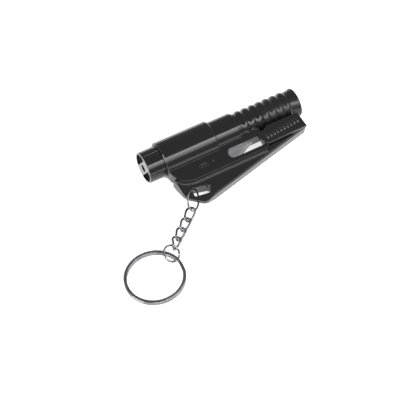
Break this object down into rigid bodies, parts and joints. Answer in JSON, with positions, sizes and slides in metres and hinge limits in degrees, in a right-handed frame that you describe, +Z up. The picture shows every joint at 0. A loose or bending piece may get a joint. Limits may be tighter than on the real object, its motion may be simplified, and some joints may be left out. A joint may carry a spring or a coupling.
{
  "type": "keychain car rescue tool",
  "caption": "Black pocket rescue tool with a spring-loaded punch nose, a keel with a belt-cutting blade, a push-on key clip with a thumb tab, and a curb chain with a split ring",
  "frame": {"origin": "centre of the nose's front face, on the barrel's axis", "axes": "+X along the barrel from the nose to the rear cap, +Z up from the table the tool lies on, so the keel and the chain are towards -Y"},
  "size_m": [0.116, 0.074, 0.0178],
  "materials": {
    "black_abs": "glossy moulded black ABS",
    "black_nose": "glossy moulded black acetal",
    "chrome_wire": "bright nickel plate",
    "blade_steel": "satin ground stainless steel",
    "tool_steel": "turned steel",
    "spring_steel": "drawn spring wire",
    "carbide": "ground tungsten carbide",
    "brass_parts": "turned brass"
  },
  "bodies": {
    "clip": {"key_clip": "black_abs"},
    "tool": {"upper_shell": "black_abs", "lower_shell": "black_abs", "rear_cap": "black_abs", "hammer_sleeve": "brass_parts", "spring_seat": "brass_parts", "firing_spring": "spring_steel", "blade": "blade_steel", "blade_pins": "tool_steel"},
    "nose": {"nose_plunger": "black_nose", "striker_retainer": "brass_parts", "return_spring": "spring_steel"},
    "striker": {"striker_pin": "tool_steel", "striker_tip": "carbide"},
    "hammer_body": {"hammer": "tool_steel", "trip_collar": "brass_parts"},
    "eye_ring": {"jump_ring_a": "chrome_wire"},
    "chain_1": {"link_1": "chrome_wire"},
    "chain_2": {"link_2": "chrome_wire"},
    "chain_3": {"link_3": "chrome_wire"},
    "chain_4": {"link_4": "chrome_wire"},
    "end_ring": {"jump_ring_b": "chrome_wire"},
    "key_ring_body": {"split_ring": "chrome_wire"}
  },
  "joints": [
    {"name": "body_pull", "type": "slide", "parent": "clip", "child": "tool", "axis": [0, 0.9847, 0.1745], "range_m": [0, 0.024]},
    {"name": "nose_press", "type": "slide", "parent": "tool", "child": "nose", "axis": [1, 0, 0], "range_m": [0, 0.006], "stiffness_N_per_m": 1200, "springref_m": -0.004},
    {"name": "spike_out", "type": "slide", "parent": "nose", "child": "striker", "axis": [-1, 0, 0], "range_m": [0, 0.0025], "stiffness_N_per_m": 400, "springref_m": -0.0015, "deforming": ["return_spring"]},
    {"name": "hammer_cock", "type": "slide", "parent": "tool", "child": "hammer_body", "axis": [1, 0, 0], "range_m": [0, 0.006], "deforming": ["firing_spring"]},
    {"name": "eye_ring_lift", "type": "hinge", "parent": "clip", "child": "eye_ring", "pos_m": [0.013, -0.0243, -0.00395], "axis": [-0.6211, 0.6612, -0.4208], "range_deg": [0, 40]},
    {"name": "link_1_turn", "type": "hinge", "parent": "eye_ring", "child": "chain_1", "pos_m": [0.0096, -0.0283, -0.00513], "axis": [0, 0, 1], "range_deg": [-20, 20]},
    {"name": "link_2_turn", "type": "hinge", "parent": "chain_1", "child": "chain_2", "pos_m": [0.00556, -0.03127, -0.00662], "axis": [0, 0, -1], "range_deg": [-20, 20]},
    {"name": "link_3_turn", "type": "hinge", "parent": "chain_2", "child": "chain_3", "pos_m": [0.00134, -0.03474, -0.00723], "axis": [0, 0, 1], "range_deg": [-20, 20]},
    {"name": "link_4_turn", "type": "hinge", "parent": "chain_3", "child": "chain_4", "pos_m": [-0.00284, -0.03776, -0.00737], "axis": [0, 0, -1], "range_deg": [-20, 20]},
    {"name": "end_ring_turn", "type": "hinge", "parent": "chain_4", "child": "end_ring", "pos_m": [-0.00631, -0.04137, -0.00511], "axis": [0, 0, 1], "range_deg": [-18, 18]},
    {"name": "key_ring_turn", "type": "hinge", "parent": "end_ring", "child": "key_ring_body", "pos_m": [-0.02077, -0.05105, -0.00663], "axis": [-0.0498, 0.0648, 0.9967], "range_deg": [-70, 10]}
  ],
  "couplings": [
    {"joint": "hammer_cock", "follows": "nose_press", "ratio": 1}
  ]
}
